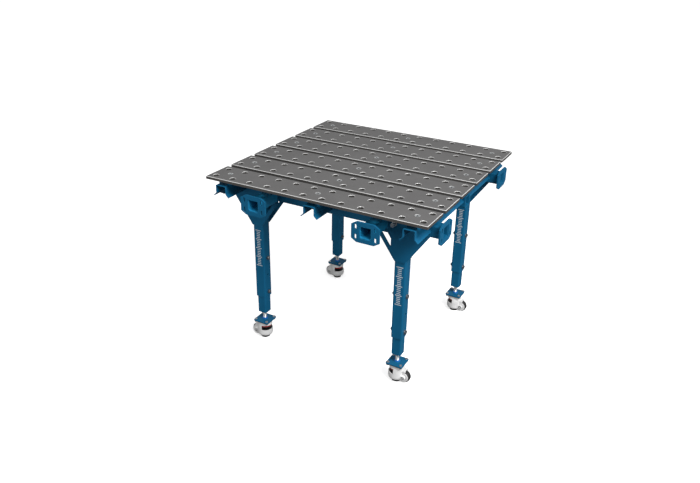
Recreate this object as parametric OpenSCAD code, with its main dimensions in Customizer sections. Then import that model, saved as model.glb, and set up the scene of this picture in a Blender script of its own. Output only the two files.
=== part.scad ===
// Welding table: a slatted steel worktop with a grid of fixture holes, a frame of
// folded beams and square tubes with receiver sockets on all four sides, and four
// telescopic legs that stand on levelling casters.
// The origin is on the floor under the middle of the worktop. X runs along the slats,
// Y to the back, Z up.

/* [Worktop] */
// Height of the working surface above the floor
table_h = 958; // [940:1:1000]
// Distance between neighbouring fixture holes
pitch = 100; // [90:5:110]
// Fixture holes along one slat
holes_per_row = 12; // [10:2:14]
// Number of slats, front to back
slat_count = 6; // [6:2:8]
// Gap between two slats
slat_gap = 30; // [20:1:40]
// Thickness of a slat
slat_t = 15; // [12:1:18]
// Diameter of a fixture hole
hole_d = 28; // [16:1:28]
// Chamfer round a fixture hole
hole_chamfer = 1.6; // [0.5:0.1:2]
// Chamfer along the slat's upper edges
edge_chamfer = 2; // [0.5:0.5:3]

/* [Slat fixing] */
// Free height between slats and beams
slat_lift = 20; // [15:1:25]
// Diameter of the countersunk screws
screw_d = 12; // [10:1:12]
// Diameter of their heads
screw_head_d = 24; // [20:1:24]

/* [Beams] */
// Width over a beam's two side walls
beam_w = 60; // [56:1:70]
// Height of the side walls down to the flared lips
beam_wall_h = 40; // [36:1:44]
// Length of a flared lip
beam_lip = 20; // [12:1:22]
// Sheet thickness
beam_t = 4; // [3:0.5:5]
// Bend radius on the inside of a fold
beam_bend = 3; // [1:0.5:4]

/* [Tubes] */
// Side of the crossbars, receiver tubes and outer legs
tube_w = 60; // [60:1:62]
// Wall of those tubes
tube_wall = 4; // [4:0.5:4.5]
// Outer corner radius of those tubes
tube_r = 8; // [6:1:9]
// Top of the beams down to the top of the crossbars
crossbar_drop = 29.5; // [28:0.5:32]
// How far the middle crossbar sticks out past the outer beam's side wall
middle_reach = 22; // [18:1:40]

/* [Receivers] */
// How far a receiver's face stands out past the worktop
receiver_out = 15; // [10:1:30]
// Width of a receiver flange
flange_w = 140; // [136:1:142]
// Height of a receiver flange
flange_h = 100; // [96:1:110]
// Thickness of a receiver flange
flange_t = 8; // [6:1:10]
// How far a tube's end stands back inside its flange
tube_back = 4; // [3:0.5:5]
// Distance between the bolt slots, side to side
slot_pitch_w = 98; // [94:1:100]
// Distance between the bolt slots, top to bottom
slot_pitch_h = 48; // [44:1:52]
// Length of a bolt slot
slot_l = 24; // [16:1:28]
// Width of a bolt slot
slot_w = 11; // [9:0.5:12]

/* [Leg plates] */
// Thickness of the plates on both sides of a leg
plate_t = 6; // [4:0.5:8]
// Bottom of the plates, below the working surface
plate_drop = 280; // [260:1:300]
// Slope of the plates' sides: rise over run
plate_slope = 1.4286; // [1.3:0.01:1.6]

/* [Legs] */
// Lower end of the outer leg above the floor
outer_leg_z = 258; // [240:1:270]
// Side of the inner leg tube
inner_w = 50; // [48:0.5:50.5]
// Lower end of the inner leg above the floor
inner_leg_z = 159; // [150:1:170]
// Travel of the inner leg
leg_travel = 200; // [100:50:200]
// Height of the upper clamp bolt above the floor
bolt_z = 488; // [480:1:500]
// Distance between neighbouring clamp holes
bolt_pitch = 100; // [90:5:100]
// Diameter of the clamp bolts
bolt_d = 12; // [10:1:12]

/* [Feet] */
// Side of the foot plate
foot_w = 90; // [86:1:94]
// Top of the foot plate above the floor
foot_z = 110; // [110:1:112]
// Diameter of the foot stud
stud_d = 20; // [16:1:20]
// Spacing of the foot plate's bolts
foot_bolt_pitch = 70; // [68:1:72]

/* [Casters] */
// Radius of the wheel
wheel_r = 32; // [31:0.5:32]
// Height of the wheel above the floor while the levelling pad carries the table
wheel_gap = 1.5; // [0.5:0.5:1.5]
// Width of the wheel
wheel_w = 24; // [22:1:26]
// Distance from the swivel axis to the wheel's axle
caster_offset = 44; // [43:0.5:46]
// Greatest radius of the housing
housing_r = 42; // [41:0.5:44]
// Radius of the levelling pad
pad_r = 24; // [20:0.5:24]
// Thickness of the levelling pad's rim
pad_t = 5; // [4:0.5:5]

/* [Hidden] */

frame_blue = [0.07, 0.29, 0.41];
slat_grey = [0.44, 0.44, 0.44];
zinc = [0.72, 0.73, 0.74];
dark_steel = [0.22, 0.22, 0.23];
housing_grey = [0.82, 0.82, 0.82];
black = [0.10, 0.10, 0.11];
rubber_black = [0.05, 0.05, 0.05];

eps = 0.01;
fit = 0.05;

slat_l = holes_per_row * pitch - slat_gap;
slat_w = 2 * pitch - slat_gap;
depth = slat_count * 2 * pitch - slat_gap;

beam_x = (holes_per_row - 2) * pitch / 2;
beam_y = (slat_count - 1) * pitch;
beam_l = depth - 4;
beam_top = table_h - slat_t - slat_lift;

leg_x = beam_x - pitch;
leg_y = depth / 2 - pitch - slat_w / 2;
crossbar_top = beam_top - crossbar_drop;
crossbar_z = crossbar_top - tube_w / 2;
crossbar_bottom = crossbar_top - tube_w;

face_x = slat_l / 2 + receiver_out;
face_y = depth / 2 + receiver_out;
receiver_x = leg_x - pitch;

// Gusset plates stand against the crossbars and the outer legs
plate_y = leg_y + tube_w / 2;
plate_bottom = table_h - plate_drop;
plate_foot = 28;
plate_inner_x = receiver_x - tube_w / 2;
plate_outer_x = beam_x + 40;

inner_wall = 4;
inner_r = 6;
slot_clear = 0.5;
inner_leg_top = bolt_z + leg_travel + 37;

plate_foot_t = 6;
caster_plate_t = 3;
caster_top = foot_z - plate_foot_t;
housing_top = 97;
stem_r = 7;
thumb_r = 36;
thumb_z = 66.3;
thumb_t = 13.2;
thumb_hub_r = 15;
thumb_hub_h = 13;
axle_r = 5;
axle_z = wheel_r + wheel_gap;

// ---------- shared shapes ----------

module rounded_square(w, r) {
    square([w - 2 * r, w], center = true);
    square([w, w - 2 * r], center = true);
    for (sx = [-1, 1], sy = [-1, 1])
        translate([sx * (w / 2 - r), sy * (w / 2 - r)]) circle(r, $fn = 32);
}

module tube_section(w, wall, r) {
    difference() {
        rounded_square(w, r);
        rounded_square(w - 2 * wall, r - wall);
    }
}

// Puts a drawing of the XZ plane at depth y and gives it the thickness t, towards -Y
module upright(y, t) {
    translate([0, y, 0]) rotate([90, 0, 0]) linear_extrude(t) children();
}

module hexagon(across_flats, h) {
    cylinder(h = h, d = across_flats / cos(30), $fn = 6);
}

// One leg's place: sx is -1 on the left, sy is -1 at the front
module at_leg(sx, sy) {
    translate([sx * leg_x, sy * leg_y, 0]) children();
}

// A caster points its wheel away from the table's middle
module at_caster(sx, sy) {
    at_leg(sx, sy) rotate(sx > 0 ? 0 : 180) children();
}

// ---------- worktop ----------

module chamfered_section(w) {
    polygon([
        [-w / 2, 0], [w / 2, 0], [w / 2, slat_t - edge_chamfer],
        [w / 2 - edge_chamfer, slat_t], [-w / 2 + edge_chamfer, slat_t],
        [-w / 2, slat_t - edge_chamfer],
    ]);
}

module fixture_hole() {
    translate([0, 0, -1]) cylinder(h = slat_t + 2, d = hole_d, $fn = 48);
    translate([0, 0, slat_t - hole_chamfer])
        cylinder(h = hole_chamfer + eps, d1 = hole_d, d2 = hole_d + 2 * (hole_chamfer + eps), $fn = 48);
}

module screw_hole() {
    sink = (screw_head_d - screw_d) / 2;
    translate([0, 0, -1]) cylinder(h = slat_t + 2, d = screw_d + 1, $fn = 32);
    translate([0, 0, slat_t - sink]) cylinder(h = sink + eps, d1 = screw_d + 1,
        d2 = screw_head_d + 1, $fn = 32);
}

module slat(i) {
    color(slat_grey)
    translate([0, (2 * i - 1 - slat_count) * pitch, table_h - slat_t])
    difference() {
        intersection() {
            translate([0, slat_w / 2, 0]) rotate([90, 0, 0])
                linear_extrude(slat_w) chamfered_section(slat_l);
            translate([-slat_l / 2, 0, 0]) rotate([90, 0, 90])
                linear_extrude(slat_l) chamfered_section(slat_w);
        }
        for (k = [0 : holes_per_row - 1], s = [-1, 1])
            translate([(k - (holes_per_row - 1) / 2) * pitch, s * pitch / 2, 0]) fixture_hole();
        for (x = [-beam_x, 0, beam_x]) translate([x, 0, 0]) screw_hole();
    }
}

// Every crossing of a slat and a beam
module at_screws() {
    for (x = [-beam_x, 0, beam_x], k = [0 : slat_count - 1])
        translate([x, (2 * k + 1 - slat_count) * pitch, 0]) children();
}

module slat_screws() {
    sink = (screw_head_d - screw_d) / 2;
    nut_h = 10;
    web_bottom = beam_top - beam_t;
    // the head stands 0.1 mm clear of its countersink
    head_low = table_h - 0.4 - sink;
    color(zinc) at_screws() {
        difference() {
            union() {
                translate([0, 0, head_low]) cylinder(h = sink, d1 = screw_d, d2 = screw_head_d, $fn = 32);
                translate([0, 0, web_bottom - nut_h - 3])
                    cylinder(h = head_low - web_bottom + nut_h + 3, d = screw_d, $fn = 32);
            }
            translate([0, 0, table_h - 6.5]) hexagon(8, 7);
        }
        translate([0, 0, web_bottom - nut_h]) difference() {
            hexagon(18, nut_h);
            translate([0, 0, -1]) cylinder(h = nut_h + 2, d = screw_d + 2 * fit, $fn = 32);
        }
    }
}

module slat_spacers() {
    color(zinc) at_screws() translate([0, 0, beam_top]) difference() {
        cylinder(h = slat_lift, d = 30, $fn = 48);
        translate([0, 0, -1]) cylinder(h = slat_lift + 2, d = screw_d + 1, $fn = 32);
    }
}

// ---------- frame ----------

// Quarter or eighth of a ring: the sheet's fold, open between angles a0 and a1
module fold(a0, a1) {
    reach = 2 * (beam_bend + beam_t);
    intersection() {
        difference() {
            circle(beam_bend + beam_t, $fn = 32);
            circle(beam_bend, $fn = 32);
        }
        polygon([[0, 0], reach * [cos(a0), sin(a0)],
            reach * [cos((a0 + a1) / 2), sin((a0 + a1) / 2)], reach * [cos(a1), sin(a1)]]);
    }
}

// Right half of the hat section, with the top of the web at height 0
module half_hat() {
    r = beam_bend + beam_t;
    wall_x = beam_w / 2 - beam_t;
    translate([0, -beam_t]) square([beam_w / 2 - r + eps, beam_t]);
    translate([beam_w / 2 - r, -r]) fold(0, 90);
    translate([wall_x, -beam_wall_h]) square([beam_t, beam_wall_h - r + eps]);
    translate([wall_x + r, -beam_wall_h]) fold(180, 225);
    translate([wall_x + r, -beam_wall_h]) rotate(-45) translate([0, -r]) square([beam_lip, beam_t]);
}

module beams() {
    cross_cut = tube_w / 2 + plate_t + 0.5;
    color(frame_blue) for (x = [-beam_x, 0, beam_x]) difference() {
        upright(beam_l / 2, beam_l) translate([x, beam_top]) {
            half_hat();
            mirror([1, 0]) half_hat();
        }
        for (y = [-leg_y, leg_y])
            translate([x - beam_w, y - cross_cut, crossbar_top - beam_wall_h * 2])
                cube([2 * beam_w, 2 * cross_cut, beam_wall_h * 2]);
        translate([x - beam_w, -tube_w / 2 - 0.5, crossbar_top - beam_wall_h * 2])
            cube([2 * beam_w, tube_w + 1, beam_wall_h * 2]);
        for (k = [0 : slat_count - 1])
            translate([x, (2 * k + 1 - slat_count) * pitch, beam_top - beam_t - 1])
                cylinder(h = beam_t + 2, d = screw_d + 1, $fn = 32);
    }
}

module earth_bolt_place() {
    translate([plate_inner_x + 96, -plate_y - plate_t, crossbar_z + 3]) rotate([90, 0, 0]) children();
}

module earth_bolt_hole() {
    earth_bolt_place() translate([0, 0, -plate_t - tube_wall - 2])
        cylinder(h = plate_t + tube_wall + 3, d = bolt_d + 1, $fn = 32);
}

module crossbar(y, half_l) {
    color(frame_blue) difference() {
        translate([-half_l, y, crossbar_z]) rotate([90, 0, 90])
            linear_extrude(2 * half_l) tube_section(tube_w, tube_wall, tube_r);
        earth_bolt_hole();
    }
}

module receiver_tubes() {
    tube_l = face_y - tube_back - plate_y - plate_t;
    color(frame_blue) for (sx = [-1, 1], sy = [-1, 1])
        translate([sx * receiver_x, sy > 0 ? face_y - tube_back : -plate_y - plate_t, crossbar_z])
            rotate([90, 0, 0]) linear_extrude(tube_l) tube_section(tube_w, tube_wall, tube_r);
}

module flange_slot() {
    square([slot_w, slot_l - slot_w], center = true);
    for (s = [-1, 1]) translate([0, s * (slot_l - slot_w) / 2]) circle(d = slot_w, $fn = 32);
}

module flange() {
    cut_w = 27;
    cut_h = 16;
    w = flange_w / 2;
    h = flange_h / 2;
    linear_extrude(flange_t) difference() {
        polygon([[w - cut_w, h], [w, h - cut_h], [w, cut_h - h], [w - cut_w, -h],
            [cut_w - w, -h], [-w, cut_h - h], [-w, h - cut_h], [cut_w - w, h]]);
        square(tube_w, center = true);
        for (sx = [-1, 1], sy = [-1, 1])
            translate([sx * slot_pitch_w / 2, sy * slot_pitch_h / 2]) flange_slot();
    }
}

module receiver_flanges() {
    color(frame_blue) for (s = [-1, 1]) {
        for (sx = [-1, 1])
            translate([sx * receiver_x, s > 0 ? face_y : -face_y + flange_t, crossbar_z])
                rotate([90, 0, 0]) flange();
        for (sy = [-1, 1])
            translate([s > 0 ? face_x - flange_t : -face_x, sy * leg_y, crossbar_z])
                rotate([90, 0, 90]) flange();
    }
}

// Outline of the plate on the outside of a right-hand leg
module outer_plate_2d() {
    foot_in = leg_x - plate_foot;
    foot_out = leg_x + plate_foot;
    difference() {
        polygon([
            [foot_in, plate_bottom], [foot_out, plate_bottom],
            [plate_outer_x, plate_bottom + (plate_outer_x - foot_out) * plate_slope],
            [plate_outer_x, crossbar_top], [plate_inner_x, crossbar_top],
            [plate_inner_x, plate_bottom + (foot_in - plate_inner_x) * plate_slope],
        ]);
        plate_window_2d();
    }
}

// The plate on the inside of a leg ends flush with the leg's outer face
module inner_plate_2d() {
    intersection() {
        outer_plate_2d();
        translate([plate_inner_x - 1, plate_bottom - 1])
            square([leg_x + plate_foot - plate_inner_x + 1, plate_drop]);
    }
}

module plate_window_2d() {
    top = crossbar_bottom - 20.5;
    left = plate_inner_x + 31;
    right = leg_x - 50;
    low = top - (right - left - 4) * plate_slope;
    polygon([[left, top], [right, top], [right, low], [right - 4, low]]);
}

module outer_leg_plates() {
    color(frame_blue) difference() {
        for (sx = [0, 1], y = [-plate_y, plate_y + plate_t])
            mirror([sx, 0, 0]) upright(y, plate_t) outer_plate_2d();
        earth_bolt_hole();
    }
}

module inner_leg_plates() {
    inner_y = leg_y - tube_w / 2;
    color(frame_blue) for (sx = [0, 1], y = [-inner_y + plate_t, inner_y])
        mirror([sx, 0, 0]) upright(y, plate_t) inner_plate_2d();
}

module earth_bolt() {
    inside = plate_t + tube_wall + 1;
    color(zinc) earth_bolt_place() {
        cylinder(h = 2.5, d = 24, $fn = 48);
        translate([0, 0, 2.5]) hexagon(19, 10);
        translate([0, 0, 20.5]) hexagon(19, 9);
        translate([0, 0, -inside]) cylinder(h = inside + 21, d = bolt_d, $fn = 32);
    }
}

// ---------- legs ----------

module leg_bolt_holes(count, d) {
    for (k = [0 : count - 1])
        translate([-tube_w, 0, bolt_z - k * bolt_pitch]) rotate([0, 90, 0])
            cylinder(h = 2 * tube_w, d = d, $fn = 32);
}

module outer_legs() {
    color(frame_blue) for (sx = [-1, 1], sy = [-1, 1]) at_leg(sx, sy) difference() {
        translate([0, 0, outer_leg_z]) linear_extrude(crossbar_bottom - outer_leg_z)
            tube_section(tube_w, tube_wall, tube_r);
        leg_bolt_holes(3, bolt_d + 1);
    }
}

module leg_bolts() {
    washer_t = 2.5;
    head_h = 7.5;
    nut_h = 10;
    half = tube_w / 2;
    color(dark_steel) for (sx = [-1, 1], sy = [-1, 1], k = [0, 2])
        at_leg(sx, sy) translate([0, 0, bolt_z - k * bolt_pitch]) rotate([0, 90 * sx, 0]) {
            translate([0, 0, half]) cylinder(h = washer_t, d = 24, $fn = 32);
            translate([0, 0, half + washer_t]) hexagon(19, head_h);
            translate([0, 0, -half - nut_h - 4])
                cylinder(h = tube_w + nut_h + 5 + washer_t, d = bolt_d, $fn = 32);
            translate([0, 0, -half - nut_h]) difference() {
                hexagon(19, nut_h);
                translate([0, 0, -1]) cylinder(h = nut_h + 2, d = bolt_d + 2 * fit, $fn = 32);
            }
        }
}

// The clamp bolts stand in a slot through the inner leg's two side walls
module inner_leg_slot() {
    w = bolt_d + 2 * slot_clear;
    low = bolt_z - 2 * bolt_pitch - 1;
    high = bolt_z + leg_travel + 1;
    translate([-inner_w, -w / 2, low]) cube([2 * inner_w, w, high - low]);
    for (z = [low, high])
        translate([-inner_w, 0, z]) rotate([0, 90, 0]) cylinder(h = 2 * inner_w, d = w, $fn = 32);
}

module inner_leg(sx, sy) {
    end_plate_t = 8;
    color(frame_blue) at_leg(sx, sy) difference() {
        union() {
            difference() {
                translate([0, 0, inner_leg_z]) linear_extrude(inner_leg_top - inner_leg_z)
                    tube_section(inner_w, inner_wall, inner_r);
                inner_leg_slot();
            }
            translate([0, 0, inner_leg_z]) linear_extrude(end_plate_t)
                rounded_square(inner_w - 2, inner_r - 1);
        }
        cylinder(h = inner_leg_top, d = stud_d + 2 * fit, $fn = 48);
    }
}

// ---------- feet ----------

module lock_nut(sx, sy) {
    nut_h = 10;
    color(zinc) at_leg(sx, sy) translate([0, 0, inner_leg_z - nut_h]) difference() {
        hexagon(30, nut_h);
        translate([0, 0, -1]) cylinder(h = nut_h + 2, d = stud_d + 2 * fit, $fn = 48);
    }
}

module foot_stud(sx, sy) {
    color(zinc) at_leg(sx, sy) translate([0, 0, caster_top + 1])
        cylinder(h = inner_leg_z + 45 - caster_top, d = stud_d, $fn = 48);
}

module foot_bolt_holes(d) {
    for (x = [-1, 1], y = [-1, 1])
        translate([x * foot_bolt_pitch / 2, y * foot_bolt_pitch / 2, 0])
            cylinder(h = 2 * foot_z, d = d, $fn = 32);
}

module foot_plate(sx, sy) {
    collar_h = 8;
    color(frame_blue) at_leg(sx, sy) difference() {
        union() {
            translate([0, 0, caster_top]) linear_extrude(plate_foot_t) rounded_square(foot_w, 8);
            translate([0, 0, foot_z]) cylinder(h = collar_h, d = 28, $fn = 48);
        }
        translate([0, 0, caster_top + 1]) cylinder(h = foot_z, d = stud_d + 2 * fit, $fn = 48);
        foot_bolt_holes(8.5);
    }
}

module foot_bolts(sx, sy) {
    nut_h = 6;
    color(zinc) at_leg(sx, sy)
        for (x = [-1, 1], y = [-1, 1])
            translate([x * foot_bolt_pitch / 2, y * foot_bolt_pitch / 2, 0]) {
                translate([0, 0, foot_z]) hexagon(13, 5.3);
                translate([0, 0, caster_top - caster_plate_t - nut_h - 1])
                    cylinder(h = plate_foot_t + caster_plate_t + nut_h + 2, d = 8, $fn = 32);
                translate([0, 0, caster_top - caster_plate_t - nut_h]) difference() {
                    hexagon(13, nut_h);
                    translate([0, 0, -1]) cylinder(h = nut_h + 2, d = 8 + 2 * fit, $fn = 32);
                }
            }
}

// ---------- casters, drawn with the wheel towards +X ----------

ring_out = 20;
ring_in = 13;
ring_low = 91;

module caster_plate(sx, sy) {
    low = caster_top - caster_plate_t;
    color(dark_steel) at_leg(sx, sy) difference() {
        union() {
            translate([0, 0, low]) linear_extrude(caster_plate_t) rounded_square(foot_w - 2, 8);
            translate([0, 0, housing_top + 0.5]) cylinder(h = low - housing_top - 0.5, r = 27, $fn = 48);
            translate([0, 0, ring_low]) cylinder(h = low - ring_low, r = ring_out, $fn = 48);
        }
        translate([0, 0, ring_low - 1]) cylinder(h = low - ring_low, r = ring_in, $fn = 48);
        foot_bolt_holes(8.5);
    }
}

// Half outline of the housing, as [radius, height]: full below, drawn in towards the top
housing_low = 12;
housing_outline = concat(
    [[0, housing_low], [28.5, housing_low]],
    [for (a = [-75 : 15 : 0]) [25 + (housing_r - 25) * cos(a), 30 + 17 * sin(a)]],
    [for (a = [10 : 10 : 70]) [29 + (housing_r - 29) * cos(a), 48 + 50 * sin(a)]],
    [[30, housing_top], [0, housing_top]]
);

cheek_in = wheel_w / 2 + 1.5;
cheek_t = 5;
cheek_r = 26;
fender_r = wheel_r + 4.5;
boss_r = 12;
boss_out = cheek_in + cheek_t + 9.5;
boss_sink = 3;

module cheek_2d() {
    translate([caster_offset, axle_z]) circle(cheek_r, $fn = 48);
    polygon([[0, 16], [caster_offset, axle_z - cheek_r],
        [caster_offset + cheek_r * cos(50), axle_z + cheek_r * sin(50)],
        [caster_offset - 8, axle_z + fender_r - 4], [12, 76], [0, 76]]);
    fender_2d(72);
}

// The fender covers the wheel's crown, from the housing to the angle where it ends
module fender_2d(end) {
    intersection() {
        translate([caster_offset, axle_z]) circle(fender_r, $fn = 64);
        translate([caster_offset, axle_z])
            polygon([[0, 0], 50 * [cos(end), sin(end)], 50 * [cos(98), sin(98)],
                50 * [cos(125), sin(125)]]);
    }
}

module caster_axle() {
    head_h = 4.5;
    half = boss_out - boss_sink - 0.5;
    rotate([90, 0, 0]) {
        translate([0, 0, -half]) cylinder(h = 2 * half, r = axle_r, $fn = 32);
        for (s = [-1, 1]) translate([0, 0, s > 0 ? half : -half - head_h]) hexagon(13, head_h);
    }
}

module caster_housing(sx, sy) {
    pad_seat = housing_low + 3;
    color(housing_grey) at_caster(sx, sy) {
        difference() {
            union() {
                rotate_extrude($fn = 96) polygon(housing_outline);
                for (s = [-1, 1])
                    translate([0, s > 0 ? cheek_in + cheek_t : -cheek_in, 0]) rotate([90, 0, 0])
                        linear_extrude(cheek_t) cheek_2d();
                translate([0, cheek_in + 1, 0]) rotate([90, 0, 0])
                    linear_extrude(2 * cheek_in + 2) fender_2d(76);
                translate([caster_offset, 0, axle_z]) rotate([90, 0, 0])
                    cylinder(h = 2 * boss_out, r = boss_r, center = true, $fn = 32);
            }
            // wheel pocket
            translate([caster_offset, cheek_in, axle_z]) rotate([90, 0, 0])
                cylinder(h = 2 * cheek_in, r = wheel_r + 1, $fn = 64);
            translate([caster_offset, 0, axle_z]) rotate([90, 0, 0]) {
                cylinder(h = 200, r = axle_r + fit, center = true, $fn = 32);
                for (z = [boss_out - boss_sink, -boss_out - 1])
                    translate([0, 0, z]) cylinder(h = boss_sink + 1, r = boss_r - 3.5, $fn = 32);
            }
            // levelling screw, thumbwheel and pad
            translate([0, 0, -1]) cylinder(h = housing_top, r = stem_r + fit, $fn = 48);
            translate([0, 0, -1]) cylinder(h = pad_seat + 1, r = pad_r + 1.5, $fn = 48);
            translate([0, 0, thumb_z - 0.5]) cylinder(h = thumb_t + 1, r = thumb_r + 0.8, $fn = 64);
            translate([0, 0, thumb_z - thumb_hub_h - 0.5])
                cylinder(h = thumb_hub_h + 1, r = thumb_hub_r + 0.5, $fn = 48);
            // window on the side away from the wheel
            intersection() {
                translate([0, 0, thumb_z - thumb_hub_h - 0.5])
                    cylinder(h = thumb_t + thumb_hub_h + 1, r = housing_r + 5, $fn = 64);
                linear_extrude(housing_top)
                    polygon([[0, 0], [-4, -90], [-90, -90], [-90, 90], [-4, 90]]);
            }
            // swivel ring's seat
            translate([0, 0, ring_low - 0.5]) difference() {
                cylinder(h = housing_top, r = ring_out + fit, $fn = 48);
                translate([0, 0, -1]) cylinder(h = housing_top + 2, r = ring_in - fit, $fn = 48);
            }
        }
        translate([caster_offset, 0, axle_z]) caster_axle();
    }
}

module caster_wheel(sx, sy) {
    edge_r = 4;
    color(black) at_caster(sx, sy) translate([caster_offset, 0, axle_z]) rotate([90, 0, 0])
        translate([0, 0, -wheel_w / 2]) rotate_extrude($fn = 96) difference() {
            union() {
                translate([axle_r + fit, 0]) square([wheel_r - edge_r - axle_r - fit, wheel_w]);
                translate([axle_r + fit, edge_r])
                    square([wheel_r - axle_r - fit, wheel_w - 2 * edge_r]);
                for (z = [edge_r, wheel_w - edge_r])
                    translate([wheel_r - edge_r, z]) circle(edge_r, $fn = 32);
            }
            for (z = [-1, wheel_w - 3]) translate([11, z]) square([13, 4]);
        }
}

module thumbwheel(sx, sy) {
    teeth = 30;
    color([0.62, 0.07, 0.07]) at_caster(sx, sy) translate([0, 0, thumb_z]) difference() {
        union() {
            cylinder(h = thumb_t, r = thumb_r, $fn = 96);
            translate([0, 0, -thumb_hub_h]) cylinder(h = thumb_hub_h + 1, r = thumb_hub_r, $fn = 48);
        }
        translate([0, 0, -thumb_hub_h - 1])
            cylinder(h = thumb_t + thumb_hub_h + 2, r = stem_r + fit, $fn = 48);
        for (k = [0 : teeth - 1])
            rotate(k * 360 / teeth) translate([thumb_r + 0.8, 0, -1])
                cylinder(h = thumb_t + 2, r = 1.8, $fn = 16);
    }
}

module levelling_pad(sx, sy) {
    cone_h = 4;
    color(rubber_black) at_caster(sx, sy) {
        cylinder(h = pad_t, r = pad_r, $fn = 64);
        translate([0, 0, pad_t]) cylinder(h = cone_h, r1 = pad_r, r2 = pad_r - 7, $fn = 64);
        cylinder(h = 84, r = stem_r, $fn = 48);
    }
}

// ---------- drawing ----------

slat(1);  // slat_1
slat(2);  // slat_2
slat(3);  // slat_3
slat(4);  // slat_4
slat(5);  // slat_5
slat(6);  // slat_6
slat_screws();
slat_spacers();
beams();
crossbar(-leg_y, face_x - tube_back);  // crossbar_front
crossbar(0, beam_x + beam_w / 2 + middle_reach);  // crossbar_middle
crossbar(leg_y, face_x - tube_back);  // crossbar_back
receiver_tubes();
receiver_flanges();
outer_leg_plates();
inner_leg_plates();
outer_legs();
leg_bolts();
earth_bolt();
inner_leg(-1, -1);  // inner_leg_fl
inner_leg(1, -1);  // inner_leg_fr
inner_leg(-1, 1);  // inner_leg_bl
inner_leg(1, 1);  // inner_leg_br
lock_nut(-1, -1);  // lock_nut_fl
lock_nut(1, -1);  // lock_nut_fr
lock_nut(-1, 1);  // lock_nut_bl
lock_nut(1, 1);  // lock_nut_br
foot_stud(-1, -1);  // foot_stud_fl
foot_stud(1, -1);  // foot_stud_fr
foot_stud(-1, 1);  // foot_stud_bl
foot_stud(1, 1);  // foot_stud_br
foot_plate(-1, -1);  // foot_plate_fl
foot_plate(1, -1);  // foot_plate_fr
foot_plate(-1, 1);  // foot_plate_bl
foot_plate(1, 1);  // foot_plate_br
foot_bolts(-1, -1);  // foot_bolts_fl
foot_bolts(1, -1);  // foot_bolts_fr
foot_bolts(-1, 1);  // foot_bolts_bl
foot_bolts(1, 1);  // foot_bolts_br
caster_plate(-1, -1);  // caster_plate_fl
caster_plate(1, -1);  // caster_plate_fr
caster_plate(-1, 1);  // caster_plate_bl
caster_plate(1, 1);  // caster_plate_br
caster_housing(-1, -1);  // caster_housing_fl
caster_housing(1, -1);  // caster_housing_fr
caster_housing(-1, 1);  // caster_housing_bl
caster_housing(1, 1);  // caster_housing_br
caster_wheel(-1, -1);  // caster_wheel_fl
caster_wheel(1, -1);  // caster_wheel_fr
caster_wheel(-1, 1);  // caster_wheel_bl
caster_wheel(1, 1);  // caster_wheel_br
thumbwheel(-1, -1);  // thumbwheel_fl
thumbwheel(1, -1);  // thumbwheel_fr
thumbwheel(-1, 1);  // thumbwheel_bl
thumbwheel(1, 1);  // thumbwheel_br
levelling_pad(-1, -1);  // levelling_pad_fl
levelling_pad(1, -1);  // levelling_pad_fr
levelling_pad(-1, 1);  // levelling_pad_bl
levelling_pad(1, 1);  // levelling_pad_br
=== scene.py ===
"""Looks for the welding table: materials, fine detail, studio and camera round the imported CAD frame."""

import math
import random

import bmesh
import bpy
from mathutils import Matrix, Vector


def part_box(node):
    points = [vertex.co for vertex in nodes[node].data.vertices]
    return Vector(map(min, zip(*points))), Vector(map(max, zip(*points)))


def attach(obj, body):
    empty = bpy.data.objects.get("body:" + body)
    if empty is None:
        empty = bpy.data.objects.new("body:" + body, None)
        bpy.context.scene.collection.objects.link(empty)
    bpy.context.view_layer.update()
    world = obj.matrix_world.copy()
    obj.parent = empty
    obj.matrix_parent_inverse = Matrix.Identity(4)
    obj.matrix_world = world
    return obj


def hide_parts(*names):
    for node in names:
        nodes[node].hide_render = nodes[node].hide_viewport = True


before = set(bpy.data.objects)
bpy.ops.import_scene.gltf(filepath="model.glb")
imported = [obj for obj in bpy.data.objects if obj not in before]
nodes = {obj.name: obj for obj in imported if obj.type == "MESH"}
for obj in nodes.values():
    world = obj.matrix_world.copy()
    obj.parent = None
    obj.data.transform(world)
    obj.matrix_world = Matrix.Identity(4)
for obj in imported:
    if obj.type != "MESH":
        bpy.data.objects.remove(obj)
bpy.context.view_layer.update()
random.seed(7)

MM = 0.001
LEGS = {"fl": (-1, -1), "fr": (1, -1), "bl": (-1, 1), "br": (1, 1)}
TABLE_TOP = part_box("slat_1")[1].z
TUBE_HALF = 30 * MM
# The legs stand at plus and minus this distance along X and along Y
LEG_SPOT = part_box("outer_legs")[1].x - TUBE_HALF


# ---------------------------------------------------------------- materials

def linear(red, green, blue):
    """A colour given as screen values from 0 to 255."""
    def channel(value):
        value = value / 255
        if value <= 0.04045:
            return value / 12.92
        return ((value + 0.055) / 1.055) ** 2.4
    return (channel(red), channel(green), channel(blue), 1.0)


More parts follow.
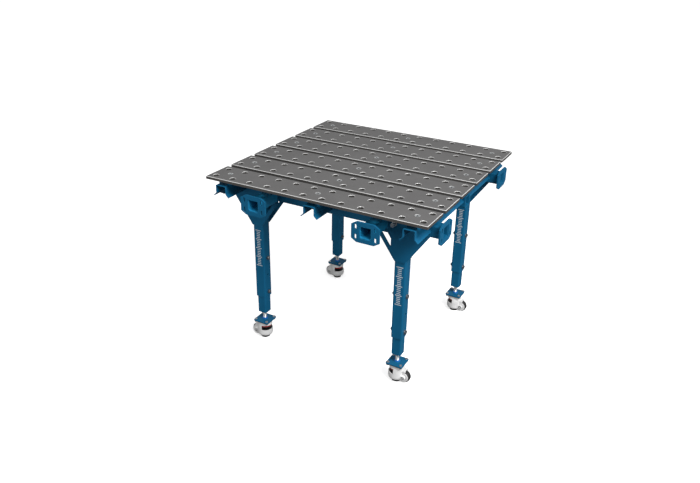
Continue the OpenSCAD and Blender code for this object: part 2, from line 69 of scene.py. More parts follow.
class Shader:
    """A node material whose nodes are added one call at a time."""

    def __init__(self, name):
        self.material = bpy.data.materials.new(name)
        self.material.use_nodes = True
        self.tree = self.material.node_tree
        self.surface = self.tree.nodes["Principled BSDF"]

    def feed(self, socket, value):
        if isinstance(value, bpy.types.NodeSocket):
            self.tree.links.new(value, socket)
        else:
            socket.default_value = value

    def add(self, kind, inputs=None, **settings):
        made = self.tree.nodes.new("ShaderNode" + kind)
        for key, value in settings.items():
            setattr(made, key, value)
        for key, value in (inputs or {}).items():
            self.feed(made.inputs[key], value)
        return made

    def position(self, stretch=(1, 1, 1)):
        """Object coordinates in metres, divided by stretch along each axis."""
        coords = self.add("TexCoord").outputs["Object"]
        scale = tuple(1 / s for s in stretch)
        return self.add("Mapping", {"Vector": coords, "Scale": scale}).outputs["Vector"]

    def noise(self, scale, detail=3.0, stretch=(1, 1, 1), rough=0.55):
        made = self.add("TexNoise", {
            "Vector": self.position(stretch), "Scale": scale, "Detail": detail, "Roughness": rough})
        return made.outputs["Fac"]

    def remap(self, value, low, high, to_low=0.0, to_high=1.0):
        made = self.add("MapRange", {
            "Value": value, "From Min": low, "From Max": high, "To Min": to_low, "To Max": to_high})
        return made.outputs["Result"]

    def maths(self, operation, first, second):
        return self.add("Math", {0: first, 1: second}, operation=operation, use_clamp=True).outputs[0]

    def blend(self, factor, first, second):
        made = self.add("Mix", data_type="RGBA")
        self.feed(made.inputs[0], factor)
        self.feed(made.inputs[6], first)
        self.feed(made.inputs[7], second)
        return made.outputs[2]

    def edges(self, width, sharpness=0.12):
        """1 along the object's edges and 0 on its faces."""
        rounded = self.add("Bevel", {"Radius": width}, samples=6).outputs["Normal"]
        flat = self.add("NewGeometry").outputs["True Normal"]
        dot = self.add("VectorMath", {0: rounded, 1: flat}, operation="DOT_PRODUCT").outputs["Value"]
        return self.remap(dot, 1.0, 1.0 - sharpness)

    def bump(self, height, strength, distance, edge_width=0.0):
        inputs = {"Height": height, "Strength": strength, "Distance": distance}
        if edge_width:
            inputs["Normal"] = self.add("Bevel", {"Radius": edge_width}, samples=6).outputs["Normal"]
        self.feed(self.surface.inputs["Normal"], self.add("Bump", inputs).outputs["Normal"])

    def finish(self, colour, roughness, metallic=0.0, coat=0.0, specular=0.5):
        self.feed(self.surface.inputs["Base Color"], colour)
        self.feed(self.surface.inputs["Roughness"], roughness)
        self.feed(self.surface.inputs["Metallic"], metallic)
        self.feed(self.surface.inputs["Coat Weight"], coat)
        self.feed(self.surface.inputs["Specular IOR Level"], specular)
        return self.material


def painted(name, dark, light, rough=0.42, round_edges=0.8 * MM):
    """Powder coat: fine orange peel, slow colour drift, faint dust, and paler edges that are partly wear
    and partly a painted highlight.
    """
    s = Shader(name)
    drift = s.remap(s.noise(5.0, 4.0), 0.35, 0.65)
    colour = s.blend(drift, linear(*dark), linear(*light))
    speckle = s.remap(s.noise(1800.0, 2.0), 0.62, 0.75, 0.0, 0.18)
    # A paler blue for the dust specks, and for the edges as wear and painted highlight
    dust_wear_and_highlight = tuple(min(255, value + 46) for value in light)
    colour = s.blend(speckle, colour, linear(*dust_wear_and_highlight))
    # Paler edges: partly worn paint, partly a painted highlight along every edge
    scuffs_and_highlight = s.maths("MULTIPLY", s.edges(1.6 * MM), s.remap(s.noise(60.0, 4.0), 0.35, 0.7, 0.15, 0.7))
    colour = s.blend(scuffs_and_highlight, colour, linear(*dust_wear_and_highlight))
    roughness = s.remap(s.noise(35.0, 4.0), 0.3, 0.7, rough - 0.06, rough + 0.08)
    s.bump(s.noise(900.0, 2.0), 0.12, 0.2 * MM, round_edges)
    return s.finish(colour, roughness, specular=0.12)


def worked_steel(name, dark, light, rough, grain=(1, 1, 1), grain_scale=400.0, scratch=0.2, metallic=0.9):
    """Bare or plated steel with a fine directional grain, stains and bright edges."""
    s = Shader(name)
    stain = s.remap(s.noise(9.0, 6.0), 0.3, 0.7)
    colour = s.blend(stain, linear(*dark), linear(*light))
    streak = s.noise(grain_scale, 3.0, grain)
    colour = s.blend(s.remap(streak, 0.3, 0.7, 0.0, scratch), colour, linear(*light))
    bright = tuple(min(255, value + 60) for value in light)
    colour = s.blend(s.maths("MULTIPLY", s.edges(0.8 * MM), 0.6), colour, linear(*bright))
    roughness = s.remap(streak, 0.3, 0.7, rough - 0.06, rough + 0.08)
    s.bump(streak, 0.1, 0.1 * MM, 0.4 * MM)
    return s.finish(colour, roughness, metallic)


def slat_steel():
    """Ground and blackened worktop plate: dark grey faces, bright cut chamfers, darker sawn sides."""
    s = Shader("slat_steel")
    grain = s.noise(520.0, 4.0, (12, 1, 1))
    stain = s.remap(s.noise(6.0, 6.0, rough=0.65), 0.32, 0.68)
    face = s.blend(stain, linear(100, 99, 99), linear(108, 107, 107))
    face = s.blend(s.remap(grain, 0.35, 0.7, 0.0, 0.25), face, linear(118, 117, 116))
    spatter = s.remap(s.noise(240.0, 1.0), 0.735, 0.75, 0.0, 0.4)
    face = s.blend(spatter, face, linear(62, 60, 58))
    normal = s.add("SeparateXYZ", {0: s.add("NewGeometry").outputs["True Normal"]}).outputs["Z"]
    sloped = s.maths("MULTIPLY", s.remap(normal, 0.25, 0.35), s.remap(normal, 0.95, 0.85))
    upright = s.remap(normal, 0.3, 0.2)
    colour = s.blend(upright, face, linear(80, 78, 76))
    colour = s.blend(sloped, colour, linear(218, 218, 217))
    roughness = s.remap(grain, 0.3, 0.7, 0.38, 0.5)
    s.bump(grain, 0.12, 0.12 * MM, 0.3 * MM)
    metallic = s.remap(sloped, 0.0, 1.0, 0.3, 0.35)
    return s.finish(colour, roughness, metallic, specular=0.2)


def screw_steel():
    """Plated screw heads with a painted highlight round their rims; their sockets, below the surface, are
    painted dark as shade.
    """
    s = Shader("screw_steel")
    height = s.add("SeparateXYZ", {0: s.position()}).outputs["Z"]
    # Painted shade: everything below the heads' tops, in the sockets, is made near-black
    sunk = s.remap(height, TABLE_TOP - 0.7 * MM, TABLE_TOP - 1.1 * MM)
    head = s.blend(s.remap(s.noise(60.0, 4.0), 0.3, 0.7), linear(112, 116, 118), linear(140, 143, 145))
    # Painted highlight: a near-white band along the heads' edges
    head = s.blend(s.edges(2.6 * MM), head, linear(226, 232, 234))
    colour = s.blend(sunk, head, linear(16, 18, 21))
    roughness = s.remap(s.noise(300.0, 2.0), 0.3, 0.7, 0.3, 0.42)
    s.bump(s.noise(900.0, 2.0), 0.1, 0.1 * MM, 0.3 * MM)
    return s.finish(colour, roughness, 0.4)


def moulded(name, dark, light, rough, scale=700.0, metallic=0.0, depth=0.2):
    """Moulded plastic, rubber or a coated casting: fine texture, mottling and rubbed edges."""
    s = Shader(name)
    mottle = s.remap(s.noise(30.0, 5.0), 0.35, 0.65)
    colour = s.blend(mottle, linear(*dark), linear(*light))
    rubbed = tuple(min(255, value + 22) for value in light)
    colour = s.blend(s.maths("MULTIPLY", s.edges(0.9 * MM), 0.5), colour, linear(*rubbed))
    roughness = s.remap(s.noise(90.0, 3.0), 0.3, 0.7, rough - 0.07, rough + 0.07)
    s.bump(s.noise(scale, 3.0), depth, 0.15 * MM, 0.5 * MM)
    return s.finish(colour, roughness, metallic)


# The housing's hollow round the thumbwheel, which is painted dark as shade
HOLLOW_R = 38 * MM
HOLLOW_LOW = 52 * MM
HOLLOW_HIGH = 81.5 * MM


def caster_coating():
    """The casters' pale coating, with painted shade: the hollow round the thumbwheel is painted near-black.
    """
    s = Shader("caster_coating")
    mottle = s.remap(s.noise(30.0, 5.0), 0.35, 0.65)
    colour = s.blend(mottle, linear(214, 214, 214), linear(228, 228, 228))
    where = s.add("SeparateXYZ", {0: s.position()}).outputs

    def calculate(operation, *values):
        return s.add("Math", dict(enumerate(values)), operation=operation).outputs[0]

    # The distance from the nearest leg's axis
    across = [calculate("SUBTRACT", calculate("ABSOLUTE", where[axis]), LEG_SPOT) for axis in ("X", "Y")]
    squares = [calculate("MULTIPLY", value, value) for value in across]
    radius = calculate("POWER", calculate("ADD", *squares), 0.5)
    near = s.remap(radius, HOLLOW_R, HOLLOW_R - 0.6 * MM)
    above = s.remap(where["Z"], HOLLOW_LOW, HOLLOW_LOW + 0.6 * MM)
    below = s.remap(where["Z"], HOLLOW_HIGH, HOLLOW_HIGH - 0.5 * MM)
    # Painted shade: the hollow round the thumbwheel is made near-black
    hollow_shade = s.maths("MULTIPLY", near, s.maths("MULTIPLY", above, below))
    colour = s.blend(hollow_shade, colour, linear(14, 14, 15))
    roughness = s.remap(s.noise(90.0, 3.0), 0.3, 0.7, 0.31, 0.45)
    s.bump(s.noise(500.0, 3.0), 0.1, 0.15 * MM, 0.5 * MM)
    return s.finish(colour, roughness)


def floor_paint():
    """Pale matt floor. Only the camera sees it pale, so it throws little light under the table."""
    s = Shader("floor_paint")
    pale = s.blend(s.noise(1.5, 2.0), (0.93, 0.93, 0.93, 1), (0.95, 0.95, 0.95, 1))
    seen = s.add("LightPath").outputs["Is Camera Ray"]
    colour = s.blend(seen, (0.12, 0.12, 0.12, 1), pale)
    glow = s.maths("MULTIPLY", seen, 0.6)
    s.feed(s.surface.inputs["Emission Color"], (1, 1, 1, 1))
    s.feed(s.surface.inputs["Emission Strength"], glow)
    s.bump(s.noise(300.0, 2.0), 0.02, 0.1 * MM)
    return s.finish(colour, 0.9, specular=0.0)


PAINT = painted("frame_blue", (14, 86, 122), (18, 92, 130))
# The frame blue made lighter, as painted light: the receiver tubes and their sockets, in the shade of the
# worktop, look lit by a fill light
FILL_LIGHT_PAINT = painted("blue_with_painted_fill_light", (26, 122, 166), (31, 130, 176))
WELD = painted("weld_blue", (14, 84, 120), (20, 94, 132), 0.36, 0.2 * MM)
BRIGHT_BLUE = painted("collar_blue", (20, 92, 172), (30, 106, 186), 0.34)
SLAT = slat_steel()
SCREW = screw_steel()
ZINC = worked_steel("zinc", (168, 170, 172), (205, 206, 207), 0.34)
DARK_STEEL = worked_steel("dark_steel", (74, 75, 78), (110, 111, 114), 0.42)
SLEEVE = worked_steel("sleeve_steel", (96, 97, 99), (134, 135, 137), 0.4, (1, 1, 8))
BOLT_STEEL = worked_steel("bolt_steel", (104, 106, 110), (150, 153, 157), 0.36)
HOUSING = caster_coating()
WHEEL = moulded("wheel_nylon", (24, 24, 25), (34, 34, 35), 0.5)
KNOB_BLACK = moulded("knob_black", (9, 9, 10), (15, 15, 16), 0.6)
KNOB_RED = moulded("knob_red", (150, 22, 22), (176, 32, 30), 0.4)
RUBBER = moulded("pad_rubber", (16, 16, 17), (25, 25, 26), 0.72, 900.0, depth=0.35)
SCALE_PRINT = moulded("scale_print", (176, 186, 192), (196, 204, 208), 0.5, 1200.0)


# ---------------------------------------------------------------- mesh building

def skin(rings, closed=False):
    """Vertices and faces of a skin over equal rings; closed joins the last ring to the first."""
    count = len(rings[0])
    verts = [point for ring in rings for point in ring]
    faces = []
    rows = len(rings) if closed else len(rings) - 1
    for row in range(rows):
        low = row * count
        high = ((row + 1) % len(rings)) * count
        for k in range(count):
            after = (k + 1) % count
            faces.append((low + k, low + after, high + after, high + k))
    if not closed:
        faces.append(tuple(reversed(range(count))))
        last = (len(rings) - 1) * count
        faces.append(tuple(range(last, last + count)))
    return verts, faces


def place(shape, matrix):
    verts, faces = shape
    return [tuple(matrix @ Vector(v)) for v in verts], faces


def merge(shapes):
    verts, faces = [], []
    for shape_verts, shape_faces in shapes:
        start = len(verts)
        verts.extend(shape_verts)
        faces.extend(tuple(start + k for k in face) for face in shape_faces)
    return verts, faces


def ring(radius, z, count=48):
    """A ring at height z. radius is a number, or a function of the angle."""
    points = []
    for k in range(count):
        angle = 2 * math.pi * k / count
        r = radius(angle) if callable(radius) else radius
        points.append((r * math.cos(angle), r * math.sin(angle), z))
    return points


def lathe(outline, closed=False, count=64):
    """Turned shape about Z from (radius, z) points in metres."""
    return skin([ring(r, z, count) for r, z in outline], closed)


def hex_radius(apothem):
    def radius(angle):
        turn = math.pi / 3
        return apothem / math.cos((angle % turn) - turn / 2)
    return radius


def hex_body(across_flats, height, bore=0.0, both_ends=False):
    """A chamfered hexagon on z = 0: a bolt head, or a nut when it has a bore."""
    apothem = across_flats / 2
    flat = apothem * 0.95
    corner = hex_radius(apothem)
    count = 72

    def drop_ring(z_end, side):
        points = []
        for x, y, _ in ring(corner, 0, count):
            r = math.hypot(x, y)
            points.append((x, y, z_end - side * (r - flat) * math.tan(math.radians(28))))
        return points

    rings = []
    if both_ends:
        rings += [ring(flat, 0, count), drop_ring(0, -1)]
    else:
        rings += [ring(corner, 0, count)]
    rings += [drop_ring(height, 1), ring(flat, height, count)]
    if bore:
        rings += [ring(bore + 0.6 * MM, height, count), ring(bore, height - 0.6 * MM, count)]
        rings += [ring(bore, 0.6 * MM, count), ring(bore + 0.6 * MM, 0, count)]
        return skin(rings, closed=True)
    rings += [ring(flat * 0.6, height, count), ring(flat * 0.55, height - 0.3 * MM, count)]
    return skin(rings)


def threaded_rod(radius, z0, z1, pitch, depth, count=24, per_turn=6):
    """A rod with a real helical thread and chamfered ends."""
    rows = int((z1 - z0) / pitch * per_turn)
    rings = []
    for row in range(rows + 1):
        z = z0 + (z1 - z0) * row / rows
        end = min(z - z0, z1 - z)
        fade = min(1.0, end / pitch)

        def radius_at(angle, z=z, fade=fade):
            phase = (z / pitch - angle / (2 * math.pi)) % 1.0
            wave = 1 - abs(2 * phase - 1)
            return radius - depth * max(wave * fade, 1 - fade)
        rings.append(ring(radius_at, z, count))
    return skin(rings)


def washer(inner, outer, thick):
    edge = 0.3 * MM
    outline = [(inner, 0), (outer - edge, 0), (outer, edge), (outer, thick - edge),
               (outer - edge, thick), (inner, thick)]
    return lathe(outline, closed=True, count=48)


def weld_bead(path, radius=2.6 * MM, step=1.3 * MM):
    """A rippled weld along a line of points, closed if it ends where it starts."""
    path = [Vector(p) for p in path]
    loop = (path[0] - path[-1]).length < 1e-6
    spots = []
    for start, end in zip(path, path[1:]):
        length = (end - start).length
        pieces = max(2, int(length / step))
        spots += [start.lerp(end, k / pieces) for k in range(pieces)]
    if not loop:
        spots.append(path[-1])
    rings = []
    for k, spot in enumerate(spots):
        before = spots[(k - 1) % len(spots)] if loop or k else spot
        after = spots[(k + 1) % len(spots)] if loop or k < len(spots) - 1 else spot
        along = (after - before).normalized()
        side = along.orthogonal().normalized()
        up = along.cross(side)
        swell = radius * (0.88 + 0.16 * (k % 2) + random.uniform(-0.05, 0.05))
        if not loop and k in (0, len(spots) - 1):
            swell *= 0.5
        rings.append([tuple(spot + (side * math.cos(a) + up * math.sin(a)) * swell)
                      for a in (2 * math.pi * j / 8 for j in range(8))])
    return skin(rings, closed=loop)


def piece(name, shape, material, body, smooth_angle=35):
    """Makes a visible piece that rides on a CAD body."""
    verts, faces = shape
    mesh = bpy.data.meshes.new(name)
    mesh.from_pydata(verts, [], faces)
    mesh.validate()
    made = bpy.data.objects.new(name, mesh)
    bpy.context.scene.collection.objects.link(made)
    recalculate(mesh)
    mesh.materials.append(material)
    mesh.shade_smooth()
    mesh.set_sharp_from_angle(angle=math.radians(smooth_angle))
    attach(made, body)
    return made


def recalculate(mesh):
    """Turns every face of the mesh outwards."""
    work = bmesh.new()
    work.from_mesh(mesh)
    bmesh.ops.recalc_face_normals(work, faces=work.faces)
    work.to_mesh(mesh)
    work.free()


def centre(node):
    low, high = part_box(node)
    return (low + high) / 2


# ---------------------------------------------------------------- CAD nodes that stay

def dress(names, material):
    """Gives CAD nodes a material; their meshes stay as packed."""
    for name in names:
        made = nodes[name]
        made.data.materials.clear()
        made.data.materials.append(material)
        made.data.shade_smooth()
        made.data.set_sharp_from_angle(angle=math.radians(28))


PER_LEG = {
    "inner_leg": PAINT, "foot_plate": PAINT, "caster_plate": DARK_STEEL, "caster_housing": HOUSING,
}
dress([f"slat_{k}" for k in range(1, 7)], SLAT)
dress(["slat_spacers"], SLEEVE)
dress(["beams", "crossbar_front", "crossbar_middle", "crossbar_back", "receiver_flanges",
       "outer_leg_plates", "inner_leg_plates", "outer_legs"], PAINT)
# The receiver tubes take the lighter blue, which paints in fill light under the worktop
dress(["receiver_tubes"], FILL_LIGHT_PAINT)
for kind, material in PER_LEG.items():
    dress([f"{kind}_{leg}" for leg in LEGS], material)


# ---------------------------------------------------------------- feet and casters

STUD_R = 10 * MM
COLLAR_R = 14.6 * MM
FOOT_BOLT_SPOT = 35 * MM
FOOT_BOLT_R = 4 * MM
FOOT_BOLT_HEX = 13 * MM
FOOT_BOLT_HEAD = 5.3 * MM
STEM_BORE = 7.1 * MM


def wheel_shape(radius, width):
    """Tread, side walls and hub of a wheel whose axle is Z, centred on the origin."""
    half = width / 2
    outline = [
        (5.1, -half), (10, -half), (10.6, -half + 0.6), (11.4, -half + 3), (23.4, -half + 3),
        (24.4, -half + 0.4), (radius - 4, -half), (radius - 1.6, -half + 1), (radius - 0.3, -half + 3.2),
        (radius, -half + 6), (radius, -1), (radius - 0.5, -0.5), (radius - 0.5, 0.5), (radius, 1),
        (radius, half - 6), (radius - 0.3, half - 3.2), (radius - 1.6, half - 1), (radius - 4, half),
        (24.4, half - 0.4), (23.4, half - 3), (11.4, half - 3), (10.6, half - 0.6), (10, half), (5.1, half),
    ]
    return lathe([(r * MM, z * MM) for r, z in outline], closed=True, count=96)


def knob_shape(radius, z0, z1, bore):
    """A knurled ring with chamfered rims."""
    def knurled(r):
        return lambda angle: r - 0.9 * MM * (0.5 + 0.5 * math.cos(30 * angle)) ** 3
    rim = 0.8 * MM
    rings = [
        ring(bore, z0, 240), ring(knurled(radius - rim), z0, 240), ring(knurled(radius), z0 + rim, 240),
        ring(knurled(radius), z1 - rim, 240), ring(knurled(radius - rim), z1, 240), ring(bore, z1, 240),
    ]
    return skin(rings, closed=True)


def pad_shape(radius, low, top):
    """Rubber pad with a grooved sole and a conical back, and the stem above it."""
    stem = 7
    radius, low, top = radius / MM, low / MM, top / MM
    outline = [
        (0.5, low), (radius - 6, low), (radius - 6, low + 0.6), (radius - 5, low + 0.6), (radius - 5, low),
        (radius - 3, low), (radius - 3, low + 0.6), (radius - 2, low + 0.6), (radius - 2, low),
        (radius - 0.6, low), (radius, low + 0.6), (radius, low + 4.4), (radius - 0.4, low + 5),
        (radius - 6.4, low + 8.5), (radius - 7.4, low + 9), (stem + 0.8, low + 9), (stem, low + 9.8),
        (stem, top - 0.8), (stem - 0.8, top),
    ]
    return lathe([(r * MM, z * MM) for r, z in outline], count=72)


def dress_leg(leg):
    """The turned, threaded and knurled pieces of one foot and its caster, in place of the CAD's."""
    foot = f"foot_{leg}"
    low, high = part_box(f"foot_stud_{leg}")
    middle = centre(f"foot_stud_{leg}")
    upright = Matrix.Translation((middle.x, middle.y, 0))

    stud = threaded_rod(STUD_R, low.z, high.z, 2.5 * MM, 1.2 * MM)
    made = piece(f"threaded_stud_{leg}", place(stud, upright), ZINC, foot)
    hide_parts(f"foot_stud_{leg}")

    low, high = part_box(f"lock_nut_{leg}")
    nut = hex_body(30 * MM, high.z - low.z, STUD_R + 0.1 * MM, both_ends=True)
    nut = place(nut, Matrix.Translation((middle.x, middle.y, low.z)))
    made = piece(f"stud_nut_{leg}", nut, ZINC, f"leg_{leg}")
    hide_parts(f"lock_nut_{leg}")

    plate_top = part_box(f"foot_bolts_{leg}")[1].z - FOOT_BOLT_HEAD
    collar_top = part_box(f"foot_plate_{leg}")[1].z
    collar = [(STUD_R, plate_top), (COLLAR_R + 1 * MM, plate_top), (COLLAR_R, plate_top + 1.2 * MM),
              (COLLAR_R, collar_top - 0.9 * MM), (COLLAR_R - 1 * MM, collar_top + 0.1 * MM),
              (STUD_R + 0.3 * MM, collar_top + 0.1 * MM)]
    collar = place(lathe(collar, closed=True), upright)
    piece(f"foot_collar_{leg}", collar, BRIGHT_BLUE, foot)

    bolts_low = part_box(f"foot_bolts_{leg}")[0].z
    bolts = []
    for sx in (-1, 1):
        for sy in (-1, 1):
            x, y = middle.x + sx * FOOT_BOLT_SPOT, middle.y + sy * FOOT_BOLT_SPOT
            head = hex_body(FOOT_BOLT_HEX, FOOT_BOLT_HEAD)
            shank = threaded_rod(FOOT_BOLT_R, bolts_low, plate_top + 1 * MM, 1.25 * MM, 0.6 * MM, 16)
            nut = hex_body(FOOT_BOLT_HEX, 6 * MM, FOOT_BOLT_R, both_ends=True)
            bolts.append(place(head, Matrix.Translation((x, y, plate_top))))
            bolts.append(place(shank, Matrix.Translation((x, y, 0))))
            bolts.append(place(nut, Matrix.Translation((x, y, bolts_low + 1 * MM))))
    made = piece(f"plate_bolts_{leg}", merge(bolts), ZINC, foot)
    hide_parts(f"foot_bolts_{leg}")

    low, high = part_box(f"caster_wheel_{leg}")
    axle = centre(f"caster_wheel_{leg}")
    turn = Matrix.Translation(axle) @ Matrix.Rotation(math.pi / 2, 4, "X")
    wheel = wheel_shape((high.z - low.z) / 2 / MM, (high.y - low.y) / MM)
    made = piece(f"wheel_{leg}", place(wheel, turn), WHEEL, f"wheel_{leg}")
    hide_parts(f"caster_wheel_{leg}")

    low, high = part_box(f"thumbwheel_{leg}")
    radius = (high.y - low.y) / 2
    split = high.z - 8.5 * MM
    knob_low = high.z - 13.2 * MM
    thumb = f"thumbwheel_{leg}"
    knob = knob_shape(radius, knob_low, split, STEM_BORE)
    made = piece(f"knob_black_{leg}", place(knob, upright), KNOB_BLACK, thumb)
    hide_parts(f"thumbwheel_{leg}")
    hub_r, hub_edge = 15 * MM, 0.8 * MM
    hub = lathe([(STEM_BORE, low.z), (hub_r - hub_edge, low.z), (hub_r, low.z + hub_edge),
                 (hub_r, knob_low), (STEM_BORE, knob_low)], closed=True)
    piece(f"knob_hub_{leg}", place(hub, upright), KNOB_BLACK, thumb)
    cap = knob_shape(radius - 0.4 * MM, split, high.z, STEM_BORE)
    piece(f"knob_red_{leg}", place(cap, upright), KNOB_RED, thumb)

    low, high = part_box(f"levelling_pad_{leg}")
    pad = pad_shape((high.y - low.y) / 2, low.z, high.z)
    made = piece(f"pad_{leg}", place(pad, upright), RUBBER, f"pad_{leg}")
    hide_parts(f"levelling_pad_{leg}")


def axle_ends(leg):
    """The axle's hexagon heads and the washers they sit on, sunk in the housing's bosses; the washers are
    dark as painted shade for the recess round each head.
    """
    axle = centre(f"caster_wheel_{leg}")
    sunk = 25 * MM
    heads, rings = [], []
    for side in (-1, 1):
        turn = Matrix.Translation(axle) @ Matrix.Rotation(-side * math.pi / 2, 4, "X")
        head_spot = turn @ Matrix.Translation((0, 0, sunk))
        shade_washer_spot = turn @ Matrix.Translation((0, 0, sunk - 0.3 * MM))
        heads.append(place(hex_body(13.3 * MM, 4.1 * MM), head_spot))
        # The washers' dark ring stands in for shade in the recess round each head
        rings.append(place(washer(6 * MM, 8.4 * MM, 0.8 * MM), shade_washer_spot))
    piece(f"axle_heads_{leg}", merge(heads), BOLT_STEEL, f"caster_{leg}")
    piece(f"axle_shade_washers_{leg}", merge(rings), DARK_STEEL, f"caster_{leg}")


for leg in LEGS:
    dress_leg(leg)
    axle_ends(leg)


# ---------------------------------------------------------------- frame fasteners

M12_R = 6 * MM
M12_PITCH = 1.75 * MM
M12_THREAD = 0.8 * MM
M12_HEX = 19 * MM
M12_NUT = 10 * MM
WASHER_T = 2.5 * MM


def m12_washer():
    return washer(M12_R + 0.1 * MM, 12 * MM, WASHER_T)


def slat_screws():
    """Countersunk screws with a hexagon socket, each with its nut under the beam."""
    low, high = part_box("slat_screws")
    span = LEG_SPOT + 100 * MM
    top, sink, nut_h = high.z, 6 * MM, 10 * MM
    socket = hex_radius(5.2 * MM)
    count = 48
    screw = skin([
        ring(5.2 * MM, low.z, count), ring(M12_R, low.z + 0.8 * MM, count),
        ring(M12_R, top - sink, count),
        ring(11.7 * MM, top - 0.3 * MM, count), ring(11.4 * MM, top, count),
        ring(hex_radius(5.6 * MM), top, count), ring(socket, top - 0.4 * MM, count),
        ring(socket, top - 5.5 * MM, count),
    ])
    nut_spot = Matrix.Translation((0, 0, low.z + 3 * MM))
    nut = place(hex_body(18 * MM, nut_h, M12_R, both_ends=True), nut_spot)
    shapes = []
    for x in (-span, 0, span):
        for k in range(1, 7):
            spot = Matrix.Translation((x, centre(f"slat_{k}").y, 0))
            shapes += [place(screw, spot), place(nut, spot)]
    made = piece("countersunk_screws", merge(shapes), SCREW, "table_frame")
    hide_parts("slat_screws")


def clamp_bolts():
    """Hexagon bolts through the legs, with washer and nut; the heads face outwards."""
    low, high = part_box("leg_bolts")
    washer_r = 12 * MM
    heights = (high.z - washer_r, low.z + washer_r)
    shapes = []
    for sx, sy in LEGS.values():
        for z in heights:
            outwards = Matrix.Rotation(sx * math.pi / 2, 4, "Y")
            spot = Matrix.Translation((sx * LEG_SPOT, sy * LEG_SPOT, z)) @ outwards
            head = hex_body(M12_HEX, 7.5 * MM)
            nut = hex_body(M12_HEX, M12_NUT, M12_R, both_ends=True)
            ends = (-TUBE_HALF - 14 * MM, TUBE_HALF + 3 * MM)
            parts = [
                place(m12_washer(), Matrix.Translation((0, 0, TUBE_HALF))),
                place(head, Matrix.Translation((0, 0, TUBE_HALF + WASHER_T))),
                threaded_rod(M12_R, *ends, M12_PITCH, M12_THREAD, 16),
                place(nut, Matrix.Translation((0, 0, -TUBE_HALF - M12_NUT))),
            ]
            shapes += [place(part, spot) for part in parts]
    made = piece("clamp_bolts", merge(shapes), BOLT_STEEL, "table_frame")
    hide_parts("leg_bolts")


def earth_bolt():
    """The earth bolt on a front gusset plate: washer, nut and the head at its outer end."""
    low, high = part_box("earth_bolt")
    middle = centre("earth_bolt")
    out = 29.5 * MM
    head_h = 9 * MM
    face = low.y + out
    spot = Matrix.Translation((middle.x, face, middle.z)) @ Matrix.Rotation(math.pi / 2, 4, "X")
    parts = [
        m12_washer(),
        place(hex_body(M12_HEX, M12_NUT, both_ends=True), Matrix.Translation((0, 0, WASHER_T))),
        place(hex_body(M12_HEX, head_h, both_ends=True), Matrix.Translation((0, 0, out - head_h))),
        threaded_rod(M12_R, face - high.y, out - 1 * MM, M12_PITCH, M12_THREAD, 20),
    ]
    made = piece("earth_stud", place(merge(parts), spot), ZINC, "table_frame")
    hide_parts("earth_bolt")


slat_screws()
clamp_bolts()
earth_bolt()


# ---------------------------------------------------------------- welds and printed scale

def square_path(middle, first, second, half):
    """A closed square round middle, spanned by two unit directions."""
    corners = [(-1, -1), (1, -1), (1, 1), (-1, 1), (-1, -1)]
    return [middle + first * a * half + second * b * half for a, b in corners]


def frame_welds():
    """Beads round the receiver tubes, and along the feet of the gusset plates."""
    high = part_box("receiver_flanges")[1]
    plate_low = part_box("outer_leg_plates")[0].z
    flange_t = 8 * MM
    tube_z = centre("crossbar_front").z
    receiver_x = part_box("receiver_tubes")[1].x - TUBE_HALF
    root_y = LEG_SPOT + TUBE_HALF + 6.4 * MM
    half = TUBE_HALF + 0.4 * MM
    stand_off = 1.5 * MM
    plate_bead = 2.2 * MM
    edge_x = 27.5 * MM
    edge_low, edge_high = plate_low + 2 * MM, plate_low + 72 * MM
    foot_x = 26 * MM
    x_axis, y_axis, z_axis = Vector((1, 0, 0)), Vector((0, 1, 0)), Vector((0, 0, 1))
    beads = []
    for sx in (-1, 1):
        for sy in (-1, 1):
            behind = Vector((sx * receiver_x, sy * (high.y - flange_t), tube_z))
            beads.append(weld_bead(square_path(behind, x_axis, z_axis, half)))
            root = Vector((sx * receiver_x, sy * root_y, tube_z))
            beads.append(weld_bead(square_path(root, x_axis, z_axis, half)))
            side = Vector((sx * (high.x - flange_t), sy * LEG_SPOT, tube_z))
            beads.append(weld_bead(square_path(side, y_axis, z_axis, half)))
            for out_y in (1, -1):
                y = LEG_SPOT + out_y * TUBE_HALF
                for out_x in (-1, 1):
                    bead_x = sx * (LEG_SPOT + out_x * (edge_x + stand_off))
                    bead_y = sy * (y + out_y * stand_off)
                    path = [(bead_x, bead_y, edge_low), (bead_x, bead_y, edge_high)]
                    beads.append(weld_bead(path, plate_bead))
                path = [(sx * (LEG_SPOT + end * foot_x), sy * y, plate_low) for end in (-1, 1)]
                beads.append(weld_bead(path, plate_bead))
    piece("frame_welds", merge(beads), WELD, "table_frame", 60)


def foot_welds():
    """A bead round each collar, where it meets the foot plate."""
    for leg in LEGS:
        middle = centre(f"foot_plate_{leg}")
        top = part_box(f"foot_bolts_{leg}")[1].z - FOOT_BOLT_HEAD
        loop = [(middle.x + x, middle.y + y, z) for x, y, z in ring(COLLAR_R + 1 * MM, top, 24)]
        loop.append(loop[0])
        piece(f"collar_weld_{leg}", weld_bead(loop, 1.6 * MM), WELD, f"foot_{leg}", 60)


def slab(x0, x1, z0, z1, face, thick):
    """A thin printed bar on an upright face that looks towards -Y."""
    inset = 0.15 * MM
    rings = [
        [(x0, face, z0), (x1, face, z0), (x1, face, z1), (x0, face, z1)],
        [(x0 + inset, face - thick, z0 + inset), (x1 - inset, face - thick, z0 + inset),
         (x1 - inset, face - thick, z1 - inset), (x0 + inset, face - thick, z1 - inset)],
    ]
    return skin(rings)


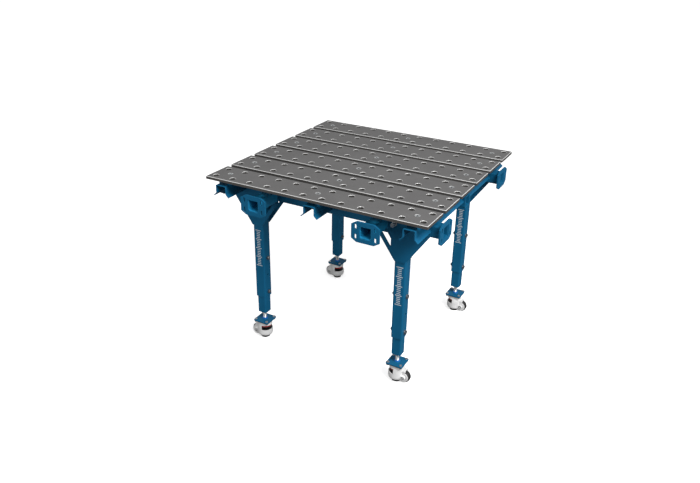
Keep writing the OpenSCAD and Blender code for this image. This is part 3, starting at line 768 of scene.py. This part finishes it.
def height_scales():
    """A plain scale of ticks, without figures, on the front of each outer leg."""
    top = TABLE_TOP - 308 * MM
    ticks, spacing, bar_h = 21, 10 * MM, 4.2 * MM
    long_tick, short_tick = 34 * MM, 20 * MM
    for leg, (sx, sy) in LEGS.items():
        face = sy * LEG_SPOT - TUBE_HALF + 0.02 * MM
        x = sx * LEG_SPOT
        bars = []
        for k in range(ticks):
            half = (short_tick if k % 5 else long_tick) / 2
            z = top - k * spacing
            bars.append(slab(x - half, x + half, z - bar_h, z, face, 0.25 * MM))
        piece(f"height_scale_{leg}", merge(bars), SCALE_PRINT, "table_frame")


frame_welds()
foot_welds()
height_scales()


# ---------------------------------------------------------------- studio and camera

def studio():
    """Pale floor and white surroundings, which light the table less than the camera sees."""
    size = 40
    mesh = bpy.data.meshes.new("floor")
    corners = [(-size, -size, 0), (size, -size, 0), (size, size, 0), (-size, size, 0)]
    mesh.from_pydata(corners, [], [(0, 1, 2, 3)])
    mesh.materials.append(floor_paint())
    floor = bpy.data.objects.new("floor", mesh)
    floor.location.z = -0.2 * MM
    bpy.context.scene.collection.objects.link(floor)

    world = bpy.data.worlds.new("studio")
    world.use_nodes = True
    tree = world.node_tree
    backdrop = tree.nodes["Background"]
    backdrop.inputs["Color"].default_value = (1, 1, 1, 1)
    path = tree.nodes.new("ShaderNodeLightPath")
    strength = tree.nodes.new("ShaderNodeMapRange")
    strength.inputs["To Min"].default_value = 0.45
    strength.inputs["To Max"].default_value = 1.0
    tree.links.new(path.outputs["Is Camera Ray"], strength.inputs["Value"])
    tree.links.new(strength.outputs["Result"], backdrop.inputs["Strength"])
    bpy.context.scene.world = world
    bpy.context.scene.view_settings.view_transform = "Standard"


def softbox(name, place_at, target, size, power):
    """A square lamp of the given side in metres and power in watts, aimed at target."""
    data = bpy.data.lights.new(name, "AREA")
    data.shape = "SQUARE"
    data.size = size
    data.energy = power
    made = bpy.data.objects.new(name, data)
    made.location = place_at
    aim = Vector(target) - Vector(place_at)
    made.rotation_euler = aim.to_track_quat("-Z", "Y").to_euler()
    bpy.context.scene.collection.objects.link(made)


def camera():
    """Looks at the table from the right front corner, a little above it."""
    turn, rise, roll = (math.radians(v) for v in (28.27, 25.481, 1.144))
    target = Vector((375.04, -876.43, 958.0)) * MM
    distance = 2779.9 * MM
    back = Vector((math.sin(turn) * math.cos(rise), -math.cos(turn) * math.cos(rise), math.sin(rise)))
    right = Vector((0, 0, 1)).cross(back).normalized()
    up = back.cross(right)
    camera_x = right * math.cos(roll) + up * math.sin(roll)
    camera_y = up * math.cos(roll) - right * math.sin(roll)
    data = bpy.data.cameras.new("camera")
    data.sensor_width = 36
    data.lens = 36.156
    made = bpy.data.objects.new("camera", data)
    made.matrix_world = Matrix((
        (camera_x.x, camera_y.x, back.x, 0),
        (camera_x.y, camera_y.y, back.y, 0),
        (camera_x.z, camera_y.z, back.z, 0),
        (0, 0, 0, 1),
    ))
    made.location = target + back * distance
    bpy.context.scene.collection.objects.link(made)
    bpy.context.scene.camera = made


studio()
softbox("key", (3.2, -1.9, 4.3), (0, 0, 0.5), 1.8, 278)
softbox("fill", (-1.6, -4.2, 1.6), (0, 0, 0.6), 2.5, 42)
softbox("side", (4.4, -0.4, 1.0), (0, 0, 0.6), 1.8, 45)
camera()
